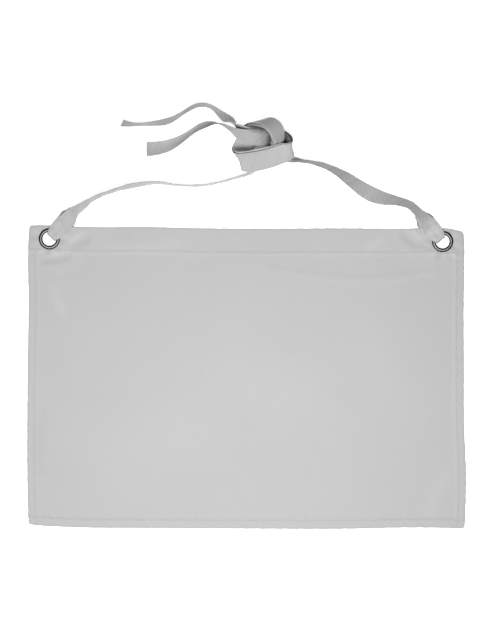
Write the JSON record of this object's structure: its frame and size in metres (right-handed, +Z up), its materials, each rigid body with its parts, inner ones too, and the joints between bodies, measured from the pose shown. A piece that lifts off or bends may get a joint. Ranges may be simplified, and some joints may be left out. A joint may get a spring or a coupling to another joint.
{
  "type": "waist apron",
  "caption": "Plain grey waist apron laid flat, with eyelets at its upper corners and flat ties joined in a loose overhand knot.",
  "frame": {"origin": "on the floor, under the middle of the whole object's box", "axes": "+X towards the right tie as the apron is seen from above, +Y from the bottom hem to the ties, +Z up from the floor"},
  "size_m": [0.735, 0.7128, 0.0615],
  "materials": {
    "canvas": "matt plain weave",
    "tape": "matt plain weave, folded and topstitched",
    "black_nickel": "dark plating, polished"
  },
  "bodies": {
    "root": {"panel": "canvas", "tie_left": "tape", "tie_right": "tape", "eyelet_left": "black_nickel", "eyelet_right": "black_nickel", "washer_left": "black_nickel", "washer_right": "black_nickel"}
  },
  "joints": []
}
